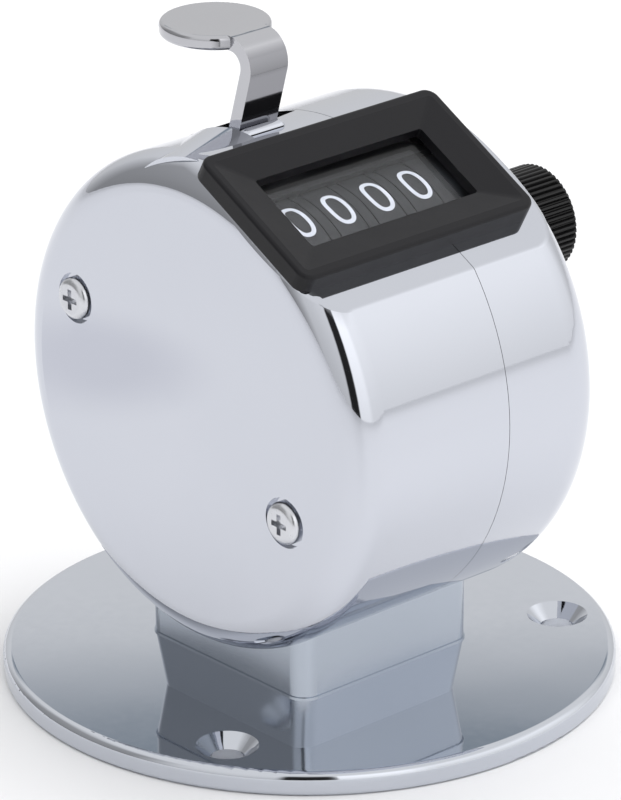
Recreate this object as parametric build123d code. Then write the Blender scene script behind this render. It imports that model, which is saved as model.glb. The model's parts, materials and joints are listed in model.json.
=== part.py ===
from build123d import *
import math
import os

# Hand tally counter on a screw-down base.  Millimetres.
# Frame: origin at the centre of the base's underside, +Z up, the window faces -Y,
# the counting axle and the drum lie along X, and the reset knob is on +X.

# ---------------------------------------------------------------- driving dimensions
BASE_R = 30.0                 # base disc
BASE_T = 2.35
BASE_ROUND = 0.85
HOLE_PCD = 50.0               # three countersunk fixing holes
HOLE_R = 1.7
SINK_R = 3.0
HOLE_ANGLES = (-30.0, -150.0, 90.0)

BLOCK_X, BLOCK_Y = -7.2, -8.0  # pedestal block
BLOCK_FOOT = (20.5, 20.46)
BLOCK_BODY = (21.64, 22.2)
BLOCK_PARTING_Z = 7.9
BLOCK_TOP_Z = 14.2
BLOCK_CORNER = 1.8
CLAMP_X, CLAMP_SIZE = -11.6, (11.4, 9.0)

DRUM_Y, DRUM_Z, DRUM_R = -7.7, 35.3, 24.0
WALL = 0.8                    # drawn sheet shells
LEFT_APEX_X, LEFT_RIM_X, LEFT_RIM_R = -22.9, -18.8, 3.6
DOME_FLAT_R = 0.3             # tiny flat at the middle of each domed end
RIGHT_APEX_X, RIGHT_RIM_X, RIGHT_RIM_R = 10.4, 4.4, 5.0
SEAM_X, SEAM_GAP = -3.8, 0.06

WINDOW_TILT = 28.0            # window plane, turned up from level
FACET_D = 21.8                # distance of the flat from the drum's axis
BEZEL_D, BEVEL_DEPTH = 23.7, 0.72
WINDOW_X, WINDOW_S = -8.2, 1.4    # window centre: along X, and up the slope
BEZEL_SIZE = (28.7, 16.4)
RIM_OPENING = (27.0, 14.4)    # where the bevel starts
SIGHT_OPENING = (20.5, 8.8)   # clear opening
LENS_SIZE, LENS_T = (21.8, 10.4), 0.55
LENS_D = 21.4                 # lens underside

AXLE_Y, AXLE_Z, AXLE_R = -12.6, 45.2, 1.5     # counting axle
TRAIN_X = -9.1                # middle of the four wheels
WHEEL_R, WHEEL_PITCH, WHEEL_RIM_W = 10.15, 4.65, 3.25
WHEEL_NAMES = ("thousands", "hundreds", "tens", "units")
RUNNING = 0.05                # radial clearance of a running fit
CARRY_TEETH, PINION_TEETH, MODULE = 20, 8, 0.79
CARRY_TIP, CARRY_ROOT, PINION_TIP, PINION_ROOT = 8.56, 7.02, 3.84, 2.41
CARRY_TOOTH_W, PINION_TOOTH_W = (0.44, 1.2), (0.44, 1.04)   # at tip and root
CARRY_DISC, CARRY_TOOTH = 6.58, 7.57
PINION_SHAFT_R = 0.9
GUARD_BAR_R, GUARD_RAIL_R = 8.8, 10.7   # comb between the wheels: inside, outside
GUARD_REACH, GUARD_SIGHT = 50.0, (24.0, 44.0)   # degrees from the window; uphill, downhill
GUARD_GAP = 0.15
RATCHET_TEETH, RATCHET_R, RATCHET_ROOT = 10, 6.2, 4.9
RATCHET_X, RATCHET_T = 1.3, 1.0

PLATE_T = 1.0                 # frame plates
LEFT_PLATE_X, RIGHT_PLATE_X = -19.0, 3.4
PLATE_R = 21.4
SCREW_YZ = ((7.5, 41.9), (-21.8, 28.5))       # the two long case screws
SCREW_R, SPACER_R = 1.25, 2.0
PIVOT_Y, PIVOT_Z = SCREW_YZ[1]                # the lever swings on the front spacer

LEVER_X, LEVER_W, LEVER_T = -10.3, 4.6, 1.4
LEVER_EXIT = (-3.8, 59.0)     # (y, z) where the strip leaves the drum
LEVER_LEAN = 16.0             # forward lean of the strip, degrees
PAD_R, PAD_Y, PAD_TOP = 5.25, 1.25, 68.2
PAWL_Y, PAWL_Z = 1.2, 36.0    # pawl pivot on the lever
PAWL_TIP = (-6.1, 46.6)
CHECK_Y, CHECK_Z = -20.2, 37.7

KNOB_R, KNOB_X0, KNOB_X1, KNOB_RIBS = 5.2, 10.9, 18.6, 54

PINION_GAP = (CARRY_TEETH + PINION_TEETH) * MODULE / 2 + 0.1   # shaft centre distance
PINION_Y, PINION_Z = AXLE_Y, AXLE_Z - PINION_GAP
SLOT_LEFT = LEVER_X - LEVER_W / 2 - 0.35
WHEEL_XS = [TRAIN_X + (i - 1.5) * WHEEL_PITCH for i in range(4)]


# ---------------------------------------------------------------- helpers
def save(name, shape):
    export_step(shape, os.path.join("parts", name + ".step"))


def along_x(x0, x1, radius, y=0.0, z=0.0):
    """A cylinder lying along X from x0 to x1."""
    turn = Rot(0, 90, 0)
    return Pos((x0 + x1) / 2, y, z) * turn * Cylinder(radius, x1 - x0)


def tube_x(x0, x1, outer, inner, y=0.0, z=0.0):
    return along_x(x0, x1, outer, y, z) - along_x(x0 - 1, x1 + 1, inner, y, z)


def plate_x(x0, thickness, face):
    """Extrude a face drawn in (y, z) from x0 towards +X."""
    return extrude(Plane.YZ.offset(x0) * face, thickness, dir=(1, 0, 0))


def polygon(points):
    return make_face(Polyline(*points, close=True))


def polar(radius, degrees, y=0.0, z=0.0):
    angle = math.radians(degrees)
    return (y + radius * math.cos(angle), z + radius * math.sin(angle))


def window_plane(distance, slope=WINDOW_S, x=WINDOW_X):
    """A plane parallel to the window, this far from the drum's axis."""
    tilt = math.radians(WINDOW_TILT)
    normal = Vector(0, -math.sin(tilt), math.cos(tilt))
    uphill = Vector(0, math.cos(tilt), math.sin(tilt))
    origin = Vector(x, DRUM_Y, DRUM_Z) + normal * distance + uphill * slope
    return Plane(origin=origin, x_dir=(1, 0, 0), z_dir=normal)


def window_slab(d0, d1, size, corner):
    face = window_plane(d0) * RectangleRounded(size[0], size[1], corner)
    return extrude(face, d1 - d0)


def gear_face(teeth, tip, root, tip_w, root_w, start=0.0):
    """A gear outline in (y, z) with straight-sided teeth about the origin."""
    points = []
    for i in range(teeth):
        middle = start + 360.0 * i / teeth
        for radius, side in ((root, -root_w), (tip, -tip_w), (tip, tip_w), (root, root_w)):
            points.append(polar(radius, middle + math.degrees(side / 2 / radius)))
    return polygon(points)


def cross_recess(size, depth):
    """A Phillips recess to cut from a head whose top is at z = 0."""
    slot = Box(size, size * 0.27, depth * 2)
    return slot + Rot(0, 0, 90) * slot


def point_minus_x(shape):
    """Turn a screw drawn with its head up so that the head faces -X."""
    return Rot(0, -90, 0) * shape


def pan_screw(head_r, head_h, shank_r, length, recess):
    """Pan-head screw with its seat at z = 0 and the shank going down."""
    head = Pos(0, 0, head_h / 2) * Cylinder(head_r, head_h)
    head = fillet(head.edges().group_by(Axis.Z)[-1], head_h * 0.62)
    shank = Pos(0, 0, -length / 2) * Cylinder(shank_r, length)
    shank = chamfer(shank.edges().group_by(Axis.Z)[0], shank_r * 0.3)
    return head + shank - Pos(0, 0, head_h) * cross_recess(recess, head_h * 0.42)


def coil(radius, wire, pitch, turns):
    """A helical spring body about Z, from z = 0 up."""
    path = Helix(pitch, pitch * turns, radius)
    start = Plane(path @ 0, z_dir=path % 0)
    return sweep(start * Circle(wire), path, is_frenet=True)


def wire_leg(points, radius):
    """A bent wire made of straight runs through these points."""
    leg = Pos(*points[0]) * Sphere(radius)
    for a, b in zip(points, points[1:]):
        run = Vector(b) - Vector(a)
        plane = Plane(origin=a, z_dir=run)
        leg += extrude(plane * Circle(radius), run.length)
        leg += Pos(*b) * Sphere(radius)
    return leg


# ---------------------------------------------------------------- base and pedestal
def base_plate():
    disc = Pos(0, 0, BASE_T / 2) * Cylinder(BASE_R, BASE_T)
    disc = fillet(disc.edges().group_by(Axis.Z)[-1], BASE_ROUND)
    disc = fillet(disc.edges().group_by(Axis.Z)[0], BASE_ROUND / 2)
    sink_depth = SINK_R - HOLE_R
    for angle in HOLE_ANGLES:
        x, y = polar(HOLE_PCD / 2, angle)
        disc -= Pos(x, y, BASE_T / 2) * Cylinder(HOLE_R, BASE_T * 2)
        disc -= Pos(x, y, BASE_T - sink_depth / 2) * Cone(HOLE_R, SINK_R, sink_depth)
    for place in block_screw_places():
        disc -= place * Cylinder(1.6, BASE_T * 4)
        disc -= place * Pos(0, 0, 0.65) * Cone(2.9, 1.6, 1.3)
    return disc


def block_screw_places():
    """Two screws from under the base into the block."""
    return [Pos(BLOCK_X, BLOCK_Y + side * 6.0, 0) for side in (-1, 1)]


def base_screws():
    length = BASE_T + 5.0
    screw = Pos(0, 0, 0.65 + 0.1) * Cone(2.75, 1.45, 1.3)
    screw += Pos(0, 0, length / 2 + 0.6) * Cylinder(1.45, length)
    screw -= Pos(0, 0, 0.1) * cross_recess(2.8, 0.7)
    return Compound([place * screw for place in block_screw_places()])


def clamp_screw_places():
    """Two screws from inside the left shell down into the block."""
    return [Pos(CLAMP_X + side * 3.0, DRUM_Y, 0) for side in (-1, 1)]


def mount_block():
    foot = Pos(BLOCK_X, BLOCK_Y, BASE_T) * RectangleRounded(*BLOCK_FOOT, BLOCK_CORNER)
    waist = Pos(BLOCK_X, BLOCK_Y, BLOCK_PARTING_Z) * RectangleRounded(*BLOCK_BODY, BLOCK_CORNER)
    block = loft([foot, waist]) + extrude(waist, BLOCK_TOP_Z + 1 - BLOCK_PARTING_Z)
    ridge = offset(waist, 0.12)
    block += Pos(0, 0, -0.14) * extrude(ridge, 0.28)
    block -= along_x(-40, 40, DRUM_R + 0.04, DRUM_Y, DRUM_Z)
    block -= Pos(BLOCK_X, BLOCK_Y, BLOCK_TOP_Z + 5) * Box(40, 40, 10)
    for place in block_screw_places():
        block -= place * Pos(0, 0, BASE_T + 3) * Cylinder(1.5, 6.2)
    for place in clamp_screw_places():
        block -= place * Pos(0, 0, 10) * Cylinder(1.5, 11)
    return block


def saddle_clamp():
    top = DRUM_Z - DRUM_R + WALL + 1.9
    bar = Pos(CLAMP_X, DRUM_Y, top - 2) * Box(*CLAMP_SIZE, 4)
    bar = bar & along_x(-40, 40, DRUM_R - WALL - 0.05, DRUM_Y, DRUM_Z)
    for place in clamp_screw_places():
        bar -= place * Pos(0, 0, top) * Cylinder(1.55, 12)
    return bar


def clamp_screws():
    seat = DRUM_Z - DRUM_R + WALL + 1.9
    screw = pan_screw(2.7, 1.7, 1.45, seat - 5.5, 2.6)
    return Compound([place * Pos(0, 0, seat) * screw for place in clamp_screw_places()])


# ---------------------------------------------------------------- drum shells
def tangent_dome(rim_x, rim_r, apex_x):
    """Where a shallow dome through apex_x meets the rim's rounding without a kink."""
    height = DRUM_R - abs(rim_r)
    reach = abs(apex_x - rim_x)
    dome_r = (height ** 2 + reach ** 2 - rim_r ** 2) / (2 * (reach - rim_r))
    return height, dome_r


def drum_end(rim_x, rim_r, apex_x, inset):
    """Points (x, radius) along one domed end: centre flat, mid dome, meet, mid rim, top."""
    height, dome_r = tangent_dome(rim_x, rim_r, apex_x)
    side = 1 if apex_x > rim_x else -1
    centre_x = apex_x - side * dome_r
    arc_r = rim_r - inset
    big_r = dome_r - inset

    def on_dome(angle):
        return centre_x + side * big_r * math.cos(angle), big_r * math.sin(angle)

    lean = math.atan2(height, abs(rim_x - centre_x))
    flat = math.asin(DOME_FLAT_R / big_r)
    half = (lean + math.pi / 2) / 2
    rim_mid = (rim_x + side * arc_r * math.cos(half), height + arc_r * math.sin(half))
    return (on_dome(flat), on_dome((flat + lean) / 2), on_dome(lean), rim_mid,
            (rim_x, height + arc_r))


def drum_solid(inset):
    """The drum's domed cylinder, shrunk evenly by inset, with the window flat cut."""
    l_flat, l_dome, l_meet, l_rim, l_top = drum_end(LEFT_RIM_X, LEFT_RIM_R, LEFT_APEX_X, inset)
    r_flat, r_dome, r_meet, r_rim, r_top = drum_end(RIGHT_RIM_X, RIGHT_RIM_R, RIGHT_APEX_X, inset)
    outline = [
        Line((l_flat[0], 0), l_flat),
        ThreePointArc(l_flat, l_dome, l_meet),
        ThreePointArc(l_meet, l_rim, l_top),
        Line(l_top, r_top),
        ThreePointArc(r_top, r_rim, r_meet),
        ThreePointArc(r_meet, r_dome, r_flat),
        Line(r_flat, (r_flat[0], 0)),
        Line((r_flat[0], 0), (l_flat[0], 0)),
    ]
    solid = revolve(make_face(outline), Axis.X)
    solid = Pos(0, DRUM_Y, DRUM_Z) * solid
    return solid - extrude(window_plane(FACET_D - inset) * Rectangle(90, 60), 20)


def slot_cutter():
    """The lever's slot, cut down through the top of the left shell."""
    front, back = LEVER_EXIT[0] - 1.1, LEVER_EXIT[0] + 7.1
    left, right = SLOT_LEFT, LEVER_X + LEVER_W / 2 + 0.45
    outline = polygon([(left, front), (right, front), (right + 0.5, front + 1.4),
                       (SEAM_X - 0.35, front + 2.0), (SEAM_X - 0.9, front + 3.8),
                       (right, back), (left, back)])
    return extrude(Pos(0, 0, 50) * outline, 15, dir=(0, 0, 1))


def slot_lip():
    """Rolled bead along the slot's front edge."""
    y, z, bead_r = LEVER_EXIT[0] - 1.95, LEVER_EXIT[1] + 0.15, 0.7
    x0, x1 = LEVER_X - 2.4, LEVER_X + 1.4
    bead = along_x(x0, x1, bead_r, y, z)
    return bead + Pos(x0, y, z) * Sphere(bead_r) + Pos(x1, y, z) * Sphere(bead_r)


def slot_ridge():
    """Ridge that rises out of the shell towards the slot's left side."""
    high, reach, round_r = 0.85, 6.9, 7.0
    near = (SLOT_LEFT, *radial_point(DRUM_R + high - round_r, -3.2))
    far = (SLOT_LEFT - reach, *radial_point(DRUM_R - 0.06 - round_r, -5.7))
    run = Vector(near) - Vector(far)
    return extrude(Plane(origin=far, z_dir=run) * Circle(round_r), run.length)


def radial_point(radius, y):
    """The (y, z) at this distance from the drum's axis, straight below the skin at y."""
    lean = math.asin((y - DRUM_Y) / DRUM_R)
    return (DRUM_Y + radius * math.sin(lean), DRUM_Z + radius * math.cos(lean))


def screw_seat_x(y, z):
    """x of the shallow seat of a case screw in the domed left face."""
    height, dome_r = tangent_dome(LEFT_RIM_X, LEFT_RIM_R, LEFT_APEX_X)
    radius = math.hypot(y - DRUM_Y, z - DRUM_Z)
    return LEFT_APEX_X + radius ** 2 / (2 * dome_r) + 0.5


def whole_shell():
    outer = drum_solid(0)
    flat_edges = [e for e in outer.edges() if on_flat(e)]
    outer = fillet(flat_edges, 0.9)
    shell = outer - drum_solid(WALL)
    tongue = window_slab(FACET_D - 5, FACET_D + 3, tongue_size(0.1), 1.0)
    return shell - tongue


def on_flat(edge):
    """True for an edge that lies in the window flat."""
    plane = window_plane(FACET_D)
    return all(abs(plane.to_local_coords(edge @ t).Z) < 0.01 for t in (0, 0.3, 0.7, 1))


def tongue_size(clearance):
    return (LENS_SIZE[0] + 1.6 + 2 * clearance, LENS_SIZE[1] + 1.6 + 2 * clearance)


def left_shell(shell):
    cup = shell & Pos(SEAM_X - SEAM_GAP / 2 - 25, DRUM_Y, DRUM_Z) * Box(50, 60, 60)
    cup += slot_lip() + slot_ridge() - drum_solid(WALL / 2)
    cup -= drum_solid(WALL)
    cup -= slot_cutter()
    for y, z in SCREW_YZ:
        seat = screw_seat_x(y, z)
        cup += along_x(seat - 0.2, LEFT_PLATE_X, 3.3, y, z)
        cup -= along_x(seat - 3, seat, 2.45, y, z)
        cup -= along_x(seat - 3, LEFT_PLATE_X + 1, SCREW_R + 0.15, y, z)
    for place in clamp_screw_places():
        cup -= place * Pos(0, 0, DRUM_Z - DRUM_R) * Cylinder(1.6, 6)
    return cup


def right_shell(shell):
    cup = shell & Pos(SEAM_X + SEAM_GAP / 2 + 25, DRUM_Y, DRUM_Z) * Box(50, 60, 60)
    lip = along_x(SEAM_X - 2, SEAM_X + 2, DRUM_R, DRUM_Y, DRUM_Z) & drum_solid(WALL + 0.05)
    lip -= drum_solid(WALL + 0.65)
    joggle = along_x(SEAM_X + 0.4, SEAM_X + 2, DRUM_R, DRUM_Y, DRUM_Z) & drum_solid(WALL / 2)
    joggle -= drum_solid(WALL + 0.3)
    cup += lip + joggle
    cup -= extrude(Pos(0, 0, 50) * Pos(LEVER_X + 2, LEVER_EXIT[0] + 3) * Rectangle(12, 11), 15) \
        & Pos(SEAM_X - 5.1, 0, 55) * Box(10, 40, 20)
    cup -= window_slab(FACET_D - 5, FACET_D + 3, tongue_size(0.1), 1.0)
    cup += along_x(RIGHT_APEX_X - 3.2, RIGHT_APEX_X - 0.5, 3.4, AXLE_Y, AXLE_Z)
    return cup - along_x(RIGHT_APEX_X - 5, RIGHT_APEX_X + 3, AXLE_R + 0.2, AXLE_Y, AXLE_Z)


# ---------------------------------------------------------------- window
def window_bezel():
    frame = window_slab(FACET_D, BEZEL_D, BEZEL_SIZE, 1.3)
    top = frame.faces().sort_by(lambda f: window_plane(0).to_local_coords(f.center()).Z)[-1]
    frame = fillet(top.edges(), 0.35)
    bevel = loft([window_plane(BEZEL_D - BEVEL_DEPTH) * RectangleRounded(*SIGHT_OPENING, 0.3),
                  window_plane(BEZEL_D) * RectangleRounded(*RIM_OPENING, 0.5)])
    frame += window_slab(LENS_D, FACET_D, tongue_size(0), 1.0)
    frame -= bevel
    frame -= window_slab(LENS_D - 1, BEZEL_D, SIGHT_OPENING, 0.3)
    return frame - window_slab(LENS_D - 1, LENS_D + LENS_T, LENS_SIZE, 0.5)


def window_lens():
    size = (LENS_SIZE[0] - 0.1, LENS_SIZE[1] - 0.1)
    return window_slab(LENS_D, LENS_D + LENS_T, size, 0.45)


# ---------------------------------------------------------------- frame
def frame_plate(x0):
    disc = Pos(DRUM_Y, DRUM_Z) * Circle(PLATE_R)
    for place, size in (((9.0, 0.0), 5.0), ((0.0, -12.5), 4.5), ((-14.0, -1.5), 2.5)):
        disc -= Pos(DRUM_Y + place[0], DRUM_Z + place[1]) * Circle(size)
    plate = plate_x(x0, PLATE_T, disc)
    plate -= extrude(window_plane(19.4) * Rectangle(90, 60), 20)
    plate -= along_x(x0 - 1, x0 + 2, PINION_SHAFT_R + 0.02, PINION_Y, PINION_Z)
    return plate - along_x(x0 - 1, x0 + 2, AXLE_R + RUNNING, AXLE_Y, AXLE_Z)


def left_frame_plate():
    plate = frame_plate(LEFT_PLATE_X)
    for y, z in SCREW_YZ:
        plate -= along_x(LEFT_PLATE_X - 1, LEFT_PLATE_X + 2, SCREW_R + 0.05, y, z)
    return plate


def right_frame_plate():
    plate = frame_plate(RIGHT_PLATE_X)
    for y, z in SCREW_YZ:
        plate += along_x(RIGHT_PLATE_X, RIGHT_PLATE_X + 2.2, 2.6, y, z)
        plate -= along_x(RIGHT_PLATE_X - 1, RIGHT_PLATE_X + 3, SCREW_R + 0.02, y, z)
    return plate - along_x(RIGHT_PLATE_X - 1, RIGHT_PLATE_X + 2, 0.92, CHECK_Y, CHECK_Z)


def frame_spacers():
    x0, x1 = LEFT_PLATE_X + PLATE_T, RIGHT_PLATE_X
    return Compound([tube_x(x0, x1, SPACER_R, SCREW_R + 0.1, y, z) for y, z in SCREW_YZ])


def case_screws():
    screws = []
    for y, z in SCREW_YZ:
        seat = screw_seat_x(y, z)
        screw = pan_screw(2.05, 1.2, SCREW_R, RIGHT_PLATE_X + 2.0 - seat, 2.0)
        screws.append(Pos(seat, y, z) * point_minus_x(screw))
    return Compound(screws)


def number_guard():
    """Comb that fills the gaps between the wheels, with a shade over the digits uphill."""
    x0, x1 = LEFT_PLATE_X + PLATE_T, RIGHT_PLATE_X
    middle = 90.0 + WINDOW_TILT

    def sector(uphill, downhill):
        far = 2 * WHEEL_R
        corners = [(0, 0), polar(far, middle - uphill), polar(far, middle + downhill)]
        return plate_x(x0 - 1, x1 - x0 + 2, polygon(corners))

    side = WHEEL_RIM_W / 2 + GUARD_GAP
    comb = tube_x(x0, x1, GUARD_RAIL_R, WHEEL_R + GUARD_GAP)
    for left, right in zip(WHEEL_XS, WHEEL_XS[1:] + [x1 + side]):
        comb += tube_x(left + side, right - side, GUARD_RAIL_R, GUARD_BAR_R)
    comb = comb & sector(GUARD_REACH, GUARD_REACH)
    comb -= tube_x(x0 - 1, x1 + 1, 2 * WHEEL_R, WHEEL_R) & sector(*GUARD_SIGHT)
    return Pos(0, AXLE_Y, AXLE_Z) * comb


def pinion_shaft():
    return along_x(LEFT_PLATE_X, RIGHT_PLATE_X + PLATE_T, PINION_SHAFT_R, PINION_Y, PINION_Z)


# ---------------------------------------------------------------- counting train
def number_wheel(x, carries, driven):
    """Digit rim, web and hub; a carry gear on the right, a carry tooth on the left."""
    half = WHEEL_RIM_W / 2
    wheel = tube_x(x - half, x + half, WHEEL_R, WHEEL_R - 1.3)
    wheel += along_x(x - 0.5, x + 0.5, WHEEL_R - 1.0)
    wheel += along_x(x - half, x + half, 2.9)
    if driven:
        face = gear_face(CARRY_TEETH, CARRY_TIP, CARRY_ROOT, *CARRY_TOOTH_W, -90.0)
        wheel += plate_x(x, half + 0.6, face)
    if carries:
        wheel += along_x(x - half - 0.5, x, CARRY_DISC)
        tooth = polygon([polar(CARRY_DISC - 0.5, 252), polar(CARRY_TOOTH, 253),
                         polar(CARRY_TOOTH, 257), polar(CARRY_DISC - 0.5, 258)])
        wheel += plate_x(x - half - 0.5, 0.5, tooth)
    wheel -= along_x(x - 5, x + 5, AXLE_R + RUNNING)
    return Pos(0, AXLE_Y, AXLE_Z) * wheel


def carry_pinion(x):
    """Eight-tooth pinion in the gap on the left of the wheel at x."""
    width = WHEEL_PITCH - WHEEL_RIM_W - 0.24
    start = 90.0 + 180.0 / PINION_TEETH
    face = gear_face(PINION_TEETH, PINION_TIP, PINION_ROOT, *PINION_TOOTH_W, start)
    pinion = plate_x(x - WHEEL_PITCH / 2 - width / 2, width, face)
    pinion -= along_x(x - 9, x + 9, PINION_SHAFT_R + RUNNING)
    return Pos(0, PINION_Y, PINION_Z) * pinion


def ratchet_wheel():
    """Ten-tooth ratchet on the units wheel; its steep flanks face the hooked pawl."""
    points = []
    for i in range(RATCHET_TEETH):
        base = 360.0 * i / RATCHET_TEETH
        points += [polar(RATCHET_R, base + 9), polar(RATCHET_ROOT, base + 11)]
    ratchet = plate_x(RATCHET_X, RATCHET_T, polygon(points))
    hub_x = WHEEL_XS[3] + WHEEL_RIM_W / 2
    ratchet += along_x(hub_x, RATCHET_X, 3.2)
    ratchet -= along_x(-9, 9, AXLE_R + RUNNING)
    return Pos(0, AXLE_Y, AXLE_Z) * ratchet


def reset_shaft():
    shaft = along_x(LEFT_PLATE_X - 1.3, KNOB_X1 - 1.2, AXLE_R, AXLE_Y, AXLE_Z)
    shaft -= tube_x(LEFT_PLATE_X - 0.7, LEFT_PLATE_X - 0.2, AXLE_R + 1, AXLE_R - 0.35,
                    AXLE_Y, AXLE_Z)
    keyway = Pos(TRAIN_X, AXLE_Y, AXLE_Z + AXLE_R) * Box(4 * WHEEL_PITCH, 0.7, 0.8)
    return shaft - keyway


def shaft_clip():
    x0 = LEFT_PLATE_X - 0.65
    clip = tube_x(x0, x0 + 0.4, 2.9, AXLE_R - 0.33, AXLE_Y, AXLE_Z)
    return clip - Pos(x0, AXLE_Y, AXLE_Z - 3) * Box(2, 1.6, 6)


def reset_knob():
    round_r, start_r, margin = 1.5, 0.4, 0.5
    top = KNOB_R + margin
    outline = [
        Polyline((KNOB_X0 - 1, 0), (KNOB_X0 - 1, KNOB_R - start_r - 1), (KNOB_X0, KNOB_R - start_r),
                 (KNOB_X0 + start_r + margin, top), (KNOB_X1 - round_r, top)),
        RadiusArc((KNOB_X1 - round_r, top), (KNOB_X1, top - round_r), round_r),
        Polyline((KNOB_X1, top - round_r), (KNOB_X1, 0), (KNOB_X0 - 1, 0)),
    ]
    dome = revolve(make_face(outline), Axis.X)
    rib = gear_face(KNOB_RIBS, KNOB_R, KNOB_R - 0.32, 0.2, 0.5)
    body = Pos(0, AXLE_Y, AXLE_Z) * (plate_x(KNOB_X0, KNOB_X1 - KNOB_X0 + 1, rib) & dome)
    body -= along_x(KNOB_X0 - 1, KNOB_X1 - 1.1, AXLE_R + 0.01, AXLE_Y, AXLE_Z)
    return body - Pos(KNOB_X0 + 2.2, AXLE_Y, AXLE_Z - 3) * Cylinder(0.8, 6)


def knob_grub_screw():
    screw = Pos(KNOB_X0 + 2.2, AXLE_Y, AXLE_Z - 3.15) * Cylinder(0.78, 3.0)
    return screw - Pos(KNOB_X0 + 2.2, AXLE_Y, AXLE_Z - 4.65) * Box(0.3, 2, 0.8)


# ---------------------------------------------------------------- lever and pawls
def thumb_lever():
    lean = math.tan(math.radians(LEVER_LEAN))
    exit_y, exit_z = LEVER_EXIT

    def strip_y(z):
        return exit_y + (exit_z - z) * lean

    pad_z = PAD_TOP - LEVER_T / 2
    path = FilletPolyline((PAD_Y, pad_z), (strip_y(pad_z), pad_z), (strip_y(32.6), 32.6),
                          (strip_y(32.6) - 4, 30.4), (PIVOT_Y + 2.9, PIVOT_Z),
                          radius=[2.1, 2.2, 3.0])
    strip = plate_x(LEVER_X - LEVER_W / 2, LEVER_W, trace(path, LEVER_T))
    eye = along_x(LEVER_X - LEVER_W / 2, LEVER_X + LEVER_W / 2, 3.4, PIVOT_Y, PIVOT_Z)
    pad = Pos(LEVER_X, PAD_Y, pad_z) * Cylinder(PAD_R, LEVER_T)
    pad = fillet(pad.edges(), 0.45)
    boss = along_x(LEVER_X - LEVER_W / 2, LEVER_X + LEVER_W / 2, 1.9, PAWL_Y, PAWL_Z)
    lever = strip + eye + boss + pad
    lever -= along_x(-30, 30, SPACER_R + RUNNING, PIVOT_Y, PIVOT_Z)
    return lever - along_x(-30, 30, 1.0, PAWL_Y, PAWL_Z)


def pawl_crossbar():
    return along_x(LEVER_X - LEVER_W / 2 - 0.3, RATCHET_X + RATCHET_T + 0.5, 0.98,
                   PAWL_Y, PAWL_Z)


def drive_pawl():
    tip_y, tip_z = PAWL_TIP
    arm = polygon([(PAWL_Y - 1.7, PAWL_Z + 0.6), (PAWL_Y + 1.2, PAWL_Z + 1.2),
                   (tip_y + 2.4, tip_z + 0.2), (tip_y + 1.4, tip_z + 1.3),
                   (tip_y, tip_z), (tip_y + 0.9, tip_z - 0.9)])
    pawl = plate_x(RATCHET_X, RATCHET_T, arm)
    pawl += along_x(RATCHET_X, RATCHET_X + RATCHET_T, 1.9, PAWL_Y, PAWL_Z)
    return pawl - along_x(-30, 30, 0.98 + RUNNING, PAWL_Y, PAWL_Z)


def check_pawl():
    tip = polar(RATCHET_R + 0.25, 200, AXLE_Y, AXLE_Z)
    arm = polygon([(CHECK_Y - 1.1, CHECK_Z + 0.6), (CHECK_Y + 1.2, CHECK_Z + 0.6),
                   (tip[0] + 0.1, tip[1] - 1.0), tip, (tip[0] - 1.6, tip[1] + 0.4)])
    pawl = plate_x(RATCHET_X, RATCHET_T, arm)
    pawl += along_x(RATCHET_X, RATCHET_X + RATCHET_T, 1.6, CHECK_Y, CHECK_Z)
    return pawl - along_x(-30, 30, 0.9 + RUNNING, CHECK_Y, CHECK_Z)


def check_pawl_pin():
    pin = along_x(RATCHET_X - 0.5, RIGHT_PLATE_X + PLATE_T, 0.9, CHECK_Y, CHECK_Z)
    return pin + along_x(RATCHET_X - 0.5, RATCHET_X - 0.1, 1.5, CHECK_Y, CHECK_Z)


def return_spring():
    """Torsion spring on the front spacer, one leg on the frame and one on the lever."""
    turns, pitch, radius, wire = 4, 0.75, 2.6, 0.28
    x1 = LEVER_X - LEVER_W / 2 - 0.5
    x0 = x1 - turns * pitch
    spring = Pos(x0, PIVOT_Y, PIVOT_Z) * Rot(0, 90, 0) * coil(radius, wire, pitch, turns)
    low = PIVOT_Z - radius + wire / 8
    frame_leg = [(x0, PIVOT_Y, low), (x0 - 0.6, PIVOT_Y - 2.2, low)]
    lever_leg = [(x1, PIVOT_Y, low), (x1 + 0.1, PIVOT_Y + 8.2, PIVOT_Z - 0.62),
                 (x1 + 2.2, PIVOT_Y + 8.4, PIVOT_Z - 0.62)]
    return spring + wire_leg(frame_leg, wire) + wire_leg(lever_leg, wire)


def pawl_spring():
    turns, pitch, radius, wire = 4, 0.5, 1.45, 0.2
    x1 = RATCHET_X - 0.35
    x0 = x1 - turns * pitch
    spring = Pos(x0, PAWL_Y, PAWL_Z) * Rot(0, 90, 0) * coil(radius, wire, pitch, turns)
    leg = [(x0, PAWL_Y, PAWL_Z - radius), (x0 - 0.4, PAWL_Y - 3.0, PAWL_Z - radius)]
    return spring + wire_leg(leg, wire)


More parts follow.
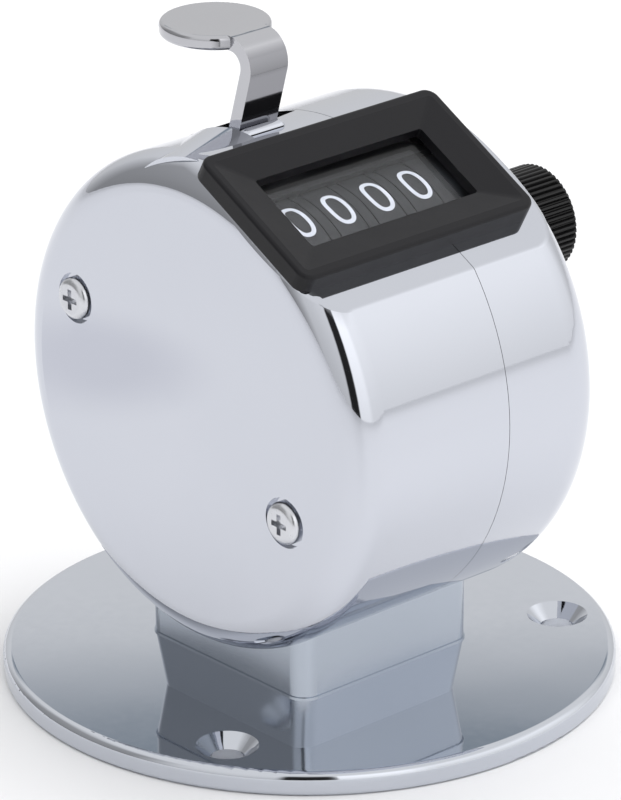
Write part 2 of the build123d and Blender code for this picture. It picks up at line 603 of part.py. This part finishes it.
# ---------------------------------------------------------------- write the nodes
def main():
    os.makedirs("parts", exist_ok=True)
    shell = whole_shell()
    nodes = {
        "base_plate": base_plate(),
        "base_screws": base_screws(),
        "mount_block": mount_block(),
        "saddle_clamp": saddle_clamp(),
        "clamp_screws": clamp_screws(),
        "left_shell": left_shell(shell),
        "right_shell": right_shell(shell),
        "window_bezel": window_bezel(),
        "window_lens": window_lens(),
        "case_screws": case_screws(),
        "left_frame_plate": left_frame_plate(),
        "right_frame_plate": right_frame_plate(),
        "frame_spacers": frame_spacers(),
        "number_guard": number_guard(),
        "pinion_shaft": pinion_shaft(),
        "ratchet_wheel": ratchet_wheel(),
        "reset_shaft": reset_shaft(),
        "shaft_clip": shaft_clip(),
        "reset_knob": reset_knob(),
        "knob_grub_screw": knob_grub_screw(),
        "thumb_lever": thumb_lever(),
        "pawl_crossbar": pawl_crossbar(),
        "drive_pawl": drive_pawl(),
        "pawl_spring": pawl_spring(),
        "check_pawl": check_pawl(),
        "check_pawl_pin": check_pawl_pin(),
        "return_spring": return_spring(),
    }
    for i, name in enumerate(WHEEL_NAMES):
        nodes["number_wheel_" + name] = number_wheel(WHEEL_XS[i], i > 0, i < 3)
        if i > 0:
            nodes["carry_pinion_" + name] = carry_pinion(WHEEL_XS[i])
    for name, shape in nodes.items():
        save(name, shape)


main()
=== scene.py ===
import json
import math

import bmesh
import bpy
from mathutils import Matrix, Vector


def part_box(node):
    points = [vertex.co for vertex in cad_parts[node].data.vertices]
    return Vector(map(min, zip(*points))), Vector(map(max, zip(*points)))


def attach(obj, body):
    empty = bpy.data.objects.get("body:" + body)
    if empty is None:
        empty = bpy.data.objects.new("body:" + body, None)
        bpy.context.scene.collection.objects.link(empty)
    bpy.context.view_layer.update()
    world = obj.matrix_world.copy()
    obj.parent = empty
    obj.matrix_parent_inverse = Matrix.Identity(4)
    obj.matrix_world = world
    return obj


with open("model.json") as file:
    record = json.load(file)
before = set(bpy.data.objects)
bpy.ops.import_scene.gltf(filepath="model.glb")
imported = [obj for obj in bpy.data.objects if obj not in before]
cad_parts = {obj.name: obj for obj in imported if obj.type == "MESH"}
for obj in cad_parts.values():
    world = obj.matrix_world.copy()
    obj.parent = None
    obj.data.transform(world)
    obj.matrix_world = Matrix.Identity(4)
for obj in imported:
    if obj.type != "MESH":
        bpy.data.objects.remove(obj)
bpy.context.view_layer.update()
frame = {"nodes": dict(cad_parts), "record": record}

MM = 0.001
NODES = frame["nodes"]

# ---------------------------------------------------------------- places taken from the frame
JOINTS = {joint["name"]: joint for joint in frame["record"]["behaviour"]["joints"]}
AXLE = Vector(JOINTS["units_turn"]["pos_m"])          # counting axle
WHEEL_NAMES = ("thousands", "hundreds", "tens", "units")
WHEEL_RADIUS = (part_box("number_wheel_units")[1][2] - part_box("number_wheel_units")[0][2]) / 2
WINDOW_TILT = 28                                      # degrees, window turned up from level
WINDOW_ANGLE = math.radians(90 + WINDOW_TILT)         # window direction about +X, from +Y

# camera, fitted to the viewing angle of the reference
VIEW_AZIMUTH, VIEW_ELEVATION, VIEW_ROLL = 41.9, 22.77, -0.21
VIEW_TARGET = Vector((-0.19, 0.0, 27.385)) * MM
VIEW_DISTANCE, VIEW_LENS = 533.5 * MM, 249.7
VIEW_SHIFT = (0.0041, 0.0019)


# ---------------------------------------------------------------- node material helpers
class Graph:
    """A node tree, with short ways to add the few kinds of node used here."""

    def __init__(self, tree):
        self.tree = tree

    def add(self, kind):
        return self.tree.nodes.new(kind)

    def link(self, source, target):
        self.tree.links.new(source, target)

    def feed(self, socket, value):
        """Link a socket, or set a constant."""
        if isinstance(value, bpy.types.NodeSocket):
            self.link(value, socket)
        else:
            socket.default_value = value

    def node(self, kind, **inputs):
        node = self.add(kind)
        for key, value in inputs.items():
            self.feed(node.inputs[key.replace("_", " ")], value)
        return node

    def math(self, operation, *values):
        node = self.add("ShaderNodeMath")
        node.operation = operation
        for socket, value in zip(node.inputs, values):
            self.feed(socket, value)
        return node.outputs[0]

    def vector_math(self, operation, *values):
        node = self.add("ShaderNodeVectorMath")
        node.operation = operation
        for socket, value in zip(node.inputs, values):
            self.feed(socket, value)
        return node

    def span(self, value, start, end, low=0.0, high=1.0):
        """Map start..end to low..high, held at both ends."""
        node = self.node("ShaderNodeMapRange", Value=value, From_Min=start, From_Max=end,
                         To_Min=low, To_Max=high)
        return node.outputs["Result"]

    def blend(self, factor, first, second, kind="MIX"):
        """Blend two colours, each a socket or a constant."""
        node = self.add("ShaderNodeMix")
        node.data_type = "RGBA"
        node.blend_type = kind
        self.link(factor, node.inputs["Factor"])
        self.feed(node.inputs["A"], first)
        self.feed(node.inputs["B"], second)
        return node.outputs["Result"]


class Shader(Graph):
    """A Principled material with the few nodes that every finish here is made of."""

    def __init__(self, name, **sockets):
        self.material = bpy.data.materials.new(name)
        self.material.use_nodes = True
        super().__init__(self.material.node_tree)
        self.main = self.tree.nodes["Principled BSDF"]
        for key, value in sockets.items():
            self.feed(self.main.inputs[key.replace("_", " ")], value)
        self.place = self.add("ShaderNodeTexCoord").outputs["Object"]

    def noise(self, scale, detail=3.0, stretch=(1, 1, 1), roughness=0.5):
        mapping = self.node("ShaderNodeMapping", Vector=self.place, Scale=stretch)
        noise = self.node("ShaderNodeTexNoise", Vector=mapping.outputs[0], Scale=scale,
                          Detail=detail, Roughness=roughness)
        return noise.outputs["Fac"]

    def ramp(self, value, low, high):
        """Map 0..1 to a range of numbers."""
        return self.span(value, 0.0, 1.0, low, high)

    def mix(self, factor, first, second):
        return self.blend(factor, (*first, 1), (*second, 1))

    def bump(self, height, strength, distance, normal=None):
        node = self.node("ShaderNodeBump", Height=height, Strength=strength, Distance=distance)
        if normal is not None:
            self.link(normal, node.inputs["Normal"])
        return node.outputs["Normal"]


LEVER_BOW = 0.33                                      # upward tip of the lever's front face
FRONT_PAINTED_SHADE = (0.55, 0.55, 0.56, 1)                   # painted shade multiplied into that face's colour, standing in for its dark reflection


def chrome(name, light, dark, roughness, wave=0.25, bow=0.0, streaks=0.45):
    """Bright plating: faint tint changes, hairline polish marks and a slight waviness.

    With bow, faces toward -Y mirror as a slightly bowed strip, and their colour is darkened by
    painted shade."""
    s = Shader(name, Metallic=1.0)
    colour, smooth = s.mix(s.noise(45, 4), dark, light), None
    if bow:
        normal = s.add("ShaderNodeNewGeometry").outputs["Normal"]
        facing = s.node("ShaderNodeSeparateXYZ", Vector=normal).outputs["Y"]
        front = s.span(facing, -0.7, -0.9)
        # painted shade: faces toward -Y get a darker colour, standing in for the dark reflection they
        # show
        colour = s.blend(front, colour, FRONT_PAINTED_SHADE, "MULTIPLY")
        lift = s.node("ShaderNodeCombineXYZ", Z=s.ramp(front, 0.0, bow))
        smooth = s.vector_math("ADD", normal, lift.outputs["Vector"]).outputs["Vector"]
    s.link(colour, s.main.inputs["Base Color"])
    hairs = s.noise(900, 4, (1, 1, 0.06), 0.65)
    s.link(s.ramp(hairs, roughness * (1 - streaks), roughness * (1 + streaks)),
           s.main.inputs["Roughness"])
    waves = s.bump(s.noise(60, 1), wave, 0.00004, smooth)
    s.link(s.bump(hairs, 0.04, 0.000004, waves), s.main.inputs["Normal"])
    return s.material


def plated_steel(name, light, dark, roughness, grain=(1, 1, 1)):
    """Duller plated or drawn steel with directional grain."""
    s = Shader(name, Metallic=1.0)
    grain_noise = s.noise(1400, 5, grain, 0.7)
    s.link(s.mix(s.noise(120, 4), dark, light), s.main.inputs["Base Color"])
    s.link(s.ramp(grain_noise, roughness * 0.7, roughness * 1.4), s.main.inputs["Roughness"])
    s.link(s.bump(grain_noise, 0.25, 0.00001), s.main.inputs["Normal"])
    return s.material


def moulded(name, light, dark, roughness, texture=1800, depth=0.3, **sockets):
    """Moulded plastic: fine spark-eroded texture and a faint change of tone."""
    s = Shader(name, **sockets)
    fine = s.noise(texture, 3, roughness=0.6)
    s.link(s.mix(s.noise(90, 5), dark, light), s.main.inputs["Base Color"])
    s.link(s.ramp(s.noise(400, 4), roughness * 0.85, roughness * 1.15), s.main.inputs["Roughness"])
    s.link(s.bump(fine, depth, 0.00002), s.main.inputs["Normal"])
    return s.material


def clear_plastic(name):
    """Thin clear window: light passes, with a faint gloss and a few wipe marks."""
    s = Shader(name, Base_Color=(0.97, 0.98, 1.0, 1), Transmission_Weight=1.0, IOR=1.3)
    wipes = s.noise(220, 5, (0.2, 1, 1), 0.7)
    s.link(s.ramp(wipes, 0.0, 0.02), s.main.inputs["Roughness"])
    output = s.tree.nodes["Material Output"]
    shadow = s.add("ShaderNodeLightPath").outputs["Is Shadow Ray"]
    through = s.add("ShaderNodeBsdfTransparent")
    both = s.node("ShaderNodeMixShader", Fac=shadow)
    s.link(s.main.outputs[0], both.inputs[1])
    s.link(through.outputs[0], both.inputs[2])
    s.link(both.outputs[0], output.inputs["Surface"])
    return s.material


def dress(material, *names):
    for name in names:
        node = NODES[name]
        if not node.material_slots:
            node.data.materials.append(material)
        for slot in node.material_slots:
            slot.material = material


def dress_all():
    shell = chrome("shell_chrome", (0.600, 0.618, 0.672), (0.565, 0.585, 0.640), 0.045)
    base = chrome("base_chrome", (0.595, 0.618, 0.668), (0.555, 0.580, 0.632), 0.05)
    lever = chrome("lever_chrome", (0.530, 0.533, 0.560), (0.450, 0.453, 0.478), 0.07,
                   bow=LEVER_BOW)
    screw = plated_steel("screw_nickel", (0.66, 0.67, 0.70), (0.58, 0.59, 0.62), 0.24)
    steel = plated_steel("frame_zinc", (0.55, 0.56, 0.57), (0.40, 0.41, 0.43), 0.35)
    spring = plated_steel("spring_wire", (0.42, 0.42, 0.44), (0.30, 0.30, 0.32), 0.3)
    brass = plated_steel("pawl_brass", (0.78, 0.58, 0.27), (0.62, 0.44, 0.18), 0.3)
    bezel = moulded("bezel_plastic", (0.0075, 0.0073, 0.0092), (0.0056, 0.0055, 0.0070), 0.40,
                    Specular_IOR_Level=0.24)
    knob = moulded("knob_plastic", (0.0045, 0.0045, 0.0048), (0.003, 0.003, 0.0033), 0.34,
                   Specular_IOR_Level=0.3)
    wheel = moulded("wheel_plastic", (0.020, 0.021, 0.024), (0.015, 0.016, 0.018), 0.5,
                    depth=0.05, Specular_IOR_Level=0.2)
    gear = moulded("gear_acetal", (0.75, 0.73, 0.66), (0.66, 0.64, 0.57), 0.4)
    # darker, rougher copy of the plating: partly the block's own satin finish, partly painted shade
    # for its low place beside the base
    block = chrome("block_satin_painted_shade", (0.440, 0.480, 0.540), (0.400, 0.440, 0.500), 0.22,
                   wave=0.05, streaks=0.08)
    dress(shell, "left_shell", "right_shell")
    dress(block, "mount_block")
    dress(base, "base_plate")
    dress(lever, "thumb_lever")
    dress(screw, "case_screws", "base_screws", "clamp_screws", "knob_grub_screw")
    dress(steel, "saddle_clamp", "left_frame_plate", "right_frame_plate", "frame_spacers",
          "pinion_shaft", "check_pawl_pin", "reset_shaft", "pawl_crossbar")
    dress(spring, "shaft_clip", "pawl_spring", "return_spring")
    dress(brass, "ratchet_wheel", "drive_pawl", "check_pawl")
    dress(bezel, "window_bezel")
    dress(knob, "reset_knob")
    dress(wheel, *("number_wheel_" + name for name in WHEEL_NAMES))
    dress(wheel, "number_guard")
    dress(gear, *("carry_pinion_" + name for name in WHEEL_NAMES[1:]))
    dress(clear_plastic("window_clear"), "window_lens")


# ---------------------------------------------------------------- numerals
DIGIT_H, DIGIT_W, STROKE = 3.6 * MM, 2.0 * MM, 0.44 * MM
PAINT_LIFT, PAINT_T = 0.012 * MM, 0.03 * MM
UPHILL = 5.0                                          # degrees above the window's middle
DIGIT_SHIFTS = (-0.05 * MM, 0.2 * MM, 0.35 * MM, 0.4 * MM)   # digits from each rim's middle


def arc(cx, cy, rx, ry, start, end, steps=18):
    """Points of an oval arc in digit space, where a digit is 1 wide and 1 high."""
    angles = [math.radians(start + (end - start) * i / steps) for i in range(steps + 1)]
    return [(cx + rx * math.cos(a), cy + ry * math.sin(a)) for a in angles]


def tall_oval(rx=0.5, ry=0.5, cy=0.0, power=2.5, steps=40):
    points = []
    for i in range(steps + 1):
        a = 2 * math.pi * i / steps
        c, s = math.cos(a), math.sin(a)
        points.append((math.copysign(abs(c) ** (2 / power), c) * rx,
                       cy + math.copysign(abs(s) ** (2 / power), s) * ry))
    return points


def digit_strokes(digit):
    shapes = {
        0: [tall_oval()],
        1: [[(-0.28, 0.28), (0.05, 0.5), (0.05, -0.5)]],
        2: [arc(0, 0.22, 0.46, 0.28, 160, -40) + [(-0.48, -0.5), (0.5, -0.5)]],
        3: [arc(-0.04, 0.25, 0.44, 0.25, 150, -80), arc(-0.04, -0.24, 0.5, 0.26, 85, -150)],
        4: [[(0.24, -0.5), (0.24, 0.5), (-0.48, -0.22), (0.5, -0.22)]],
        5: [[(0.42, 0.5), (-0.34, 0.5), (-0.4, 0.06)] + arc(-0.02, -0.18, 0.48, 0.32, 120, -150)],
        6: [arc(0.22, 0.0, 0.70, 0.5, 80, 180, 12), tall_oval(0.46, 0.27, -0.23, 2.1)],
        7: [[(-0.46, 0.5), (0.48, 0.5), (-0.12, -0.5)]],
        8: [tall_oval(0.42, 0.24, 0.26, 2.1), tall_oval(0.48, 0.26, -0.24, 2.1)],
        9: [arc(-0.22, 0.0, 0.70, 0.5, -100, 0, 12), tall_oval(0.46, 0.27, 0.23, 2.1)],
    }
    return shapes[digit]


def ribbon(mesh, points, to_surface):
    """Add one painted stroke of even width, laid on a surface by to_surface."""
    size = [Vector((x * DIGIT_W, y * DIGIT_H)) for x, y in points]
    closed = (size[0] - size[-1]).length < STROKE * 0.2
    if closed:
        size = size[:-1]
    count = len(size)
    sides = []
    for i, point in enumerate(size):
        before = size[(i - 1) % count] if closed or i > 0 else point
        after = size[(i + 1) % count] if closed or i < count - 1 else point
        along = (after - before).normalized()
        miter = Vector((-along.y, along.x)) * STROKE / 2
        sides.append([mesh.verts.new(to_surface(point + miter)),
                      mesh.verts.new(to_surface(point - miter))])
    pairs = zip(sides, sides[1:] + sides[:1]) if closed else zip(sides, sides[1:])
    for (a, b), (c, d) in pairs:
        mesh.faces.new((a, b, d, c))


def numerals(name, middle_x):
    """All ten digits of one wheel, as thin raised paint."""
    mesh = bmesh.new()
    for digit in range(10):
        middle = WINDOW_ANGLE - math.radians(UPHILL) + math.radians(36 * digit)

        def to_surface(point):
            radius = WHEEL_RADIUS + PAINT_LIFT
            angle = middle - point.y / WHEEL_RADIUS
            return (middle_x + point.x, AXLE.y + radius * math.cos(angle),
                    AXLE.z + radius * math.sin(angle))

        for stroke in digit_strokes(digit):
            ribbon(mesh, stroke, to_surface)
    bmesh.ops.recalc_face_normals(mesh, faces=mesh.faces)
    data = bpy.data.meshes.new("numerals_" + name)
    mesh.to_mesh(data)
    mesh.free()
    piece = bpy.data.objects.new("numerals_" + name, data)
    bpy.context.collection.objects.link(piece)
    thick = piece.modifiers.new("paint", "SOLIDIFY")
    thick.thickness = PAINT_T
    thick.offset = 1
    return piece


def add_numerals():
    paint = moulded("numeral_paint", (0.55, 0.57, 0.62), (0.48, 0.50, 0.55), 0.55, 2600, 0.2)
    for name, shift in zip(WHEEL_NAMES, DIGIT_SHIFTS):
        piece = numerals(name, JOINTS[name + "_turn"]["pos_m"][0] + shift)
        piece.data.materials.append(paint)
        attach(piece, "wheel_" + name)


# ---------------------------------------------------------------- stage, light and camera
FLOOR_SIZE = 6
PATCH = (-77 * MM, 77 * MM, 0)                        # darker patch, mirrored in the drum's face
PATCH_SPREAD = (6 * MM, 24 * MM)
PATCH_COLOUR = (0.70, 0.70, 0.73, 1)


def add_floor():
    """Pale floor with one faint darker patch beside the object."""
    s = Shader("floor_pale", Roughness=0.55)
    pale = s.mix(s.noise(6, 2), (0.80, 0.80, 0.81), (0.84, 0.84, 0.85))
    away = s.vector_math("DISTANCE", s.place, PATCH).outputs["Value"]
    spread = s.node("ShaderNodeMapRange", Value=away, From_Min=PATCH_SPREAD[0],
                    From_Max=PATCH_SPREAD[1])
    spread.interpolation_type = "SMOOTHSTEP"
    s.link(s.blend(spread.outputs["Result"], PATCH_COLOUR, pale), s.main.inputs["Base Color"])
    bpy.ops.mesh.primitive_plane_add(size=FLOOR_SIZE)
    floor = bpy.context.object
    floor.name = "floor"
    floor.data.materials.append(s.material)


SOFTBOX_SIZE, SOFTBOX_AIM = 0.5, (0, 0, 0.03)


def softbox(name, place, power):
    """Square area light aimed at the middle of the object, left out of mirror images."""
    data = bpy.data.lights.new(name, "AREA")
    data.shape = "RECTANGLE"
    data.size = data.size_y = SOFTBOX_SIZE
    data.energy = power
    light = bpy.data.objects.new(name, data)
    light.location = place
    aim = Vector(SOFTBOX_AIM) - Vector(place)
    light.rotation_euler = aim.to_track_quat("-Z", "Y").to_euler()
    light.visible_glossy = False
    bpy.context.collection.objects.link(light)


def add_lights():
    softbox("overhead", (0.22, -0.30, 0.85), 3.2)
    softbox("back_fill", (-0.2, 0.5, 0.8), 1.8)


# brightness of the surroundings by compass angle: (degrees from +X, level)
SURROUNDINGS = ((-180, 0.95), (-144, 1.0), (-141, 0.03), (-124, 0.03), (-121, 1.60), (-96, 1.60),
                (-86, 1.36), (-20, 1.36), (0, 1.0), (80, 0.94), (105, 0.45), (160, 0.45), (180, 0.95))
# heights below are sines of the elevation
PANEL_TOP = (0.62, 0.80)                              # the panels fade out into an even sky
HORIZON_STRENGTH, FULL_HEIGHT = 0.76, 0.6
# dark card low at the back, mirrored in the front of the base plate
CARD_COMPASS, CARD_HALF = 48, (8, 30)                 # degrees: middle, and where it fades out
CARD_RISE, CARD_FALL = (0.423, 0.442), (0.46, 0.52)
CARD_COLOUR = (0.30, 0.35, 0.40, 1)
SKY = (1, 1, 1, 1)


def panel_colour(g, compass):
    """Grey level of the surroundings at a compass angle in radians."""
    panels = g.node("ShaderNodeValToRGB", Fac=g.span(compass, -math.pi, math.pi))
    stops = panels.color_ramp.elements
    while len(stops) < len(SURROUNDINGS):
        stops.new(0.5)
    for stop, (angle, level) in zip(stops, SURROUNDINGS):
        stop.position = (angle + 180) / 360
        stop.color = (level, level, level, 1)
    return panels.outputs["Color"]


def card_share(g, compass, height):
    """How much of the dark card is seen in a direction, 0 to 1."""
    apart = g.math("ABSOLUTE", g.math("SUBTRACT", compass, math.radians(CARD_COMPASS)))
    beside = g.span(apart, *(math.radians(angle) for angle in CARD_HALF), 1.0, 0.0)
    rising = g.math("MULTIPLY", beside, g.span(height, *CARD_RISE))
    return g.math("MULTIPLY", rising, g.span(height, *CARD_FALL, 1.0, 0.0))


def add_world():
    world = bpy.data.worlds.new("studio")
    world.use_nodes = True
    g = Graph(world.node_tree)
    background = g.tree.nodes["Background"]
    direction = g.add("ShaderNodeTexCoord").outputs["Generated"]
    split = g.node("ShaderNodeSeparateXYZ", Vector=direction)
    height = split.outputs["Z"]
    compass = g.math("ARCTAN2", split.outputs["Y"], split.outputs["X"])
    low = g.span(height, *PANEL_TOP, 1.0, 0.0)
    around = g.blend(low, SKY, panel_colour(g, compass))
    g.link(g.blend(card_share(g, compass, height), around, CARD_COLOUR), background.inputs["Color"])
    g.link(g.span(height, 0.0, FULL_HEIGHT, HORIZON_STRENGTH), background.inputs["Strength"])
    bpy.context.scene.world = world


def add_camera():
    azimuth, elevation = math.radians(VIEW_AZIMUTH), math.radians(VIEW_ELEVATION)
    back = Vector((-math.sin(azimuth) * math.cos(elevation),
                   -math.cos(azimuth) * math.cos(elevation), math.sin(elevation)))
    data = bpy.data.cameras.new("camera")
    data.lens = VIEW_LENS
    data.shift_x, data.shift_y = VIEW_SHIFT
    data.clip_start, data.clip_end = 0.01, 20
    camera = bpy.data.objects.new("camera", data)
    camera.location = VIEW_TARGET + back * VIEW_DISTANCE
    turn = back.to_track_quat("Z", "Y").to_matrix().to_4x4()
    roll = Matrix.Rotation(math.radians(VIEW_ROLL), 4, "Z")
    camera.matrix_world = Matrix.Translation(camera.location) @ turn @ roll
    bpy.context.collection.objects.link(camera)
    bpy.context.scene.camera = camera


def add_view_transform():
    settings = bpy.context.scene.view_settings
    settings.view_transform = "Standard"
    settings.exposure = 0.0


add_camera()
dress_all()
add_numerals()
add_floor()
add_lights()
add_world()
add_view_transform()
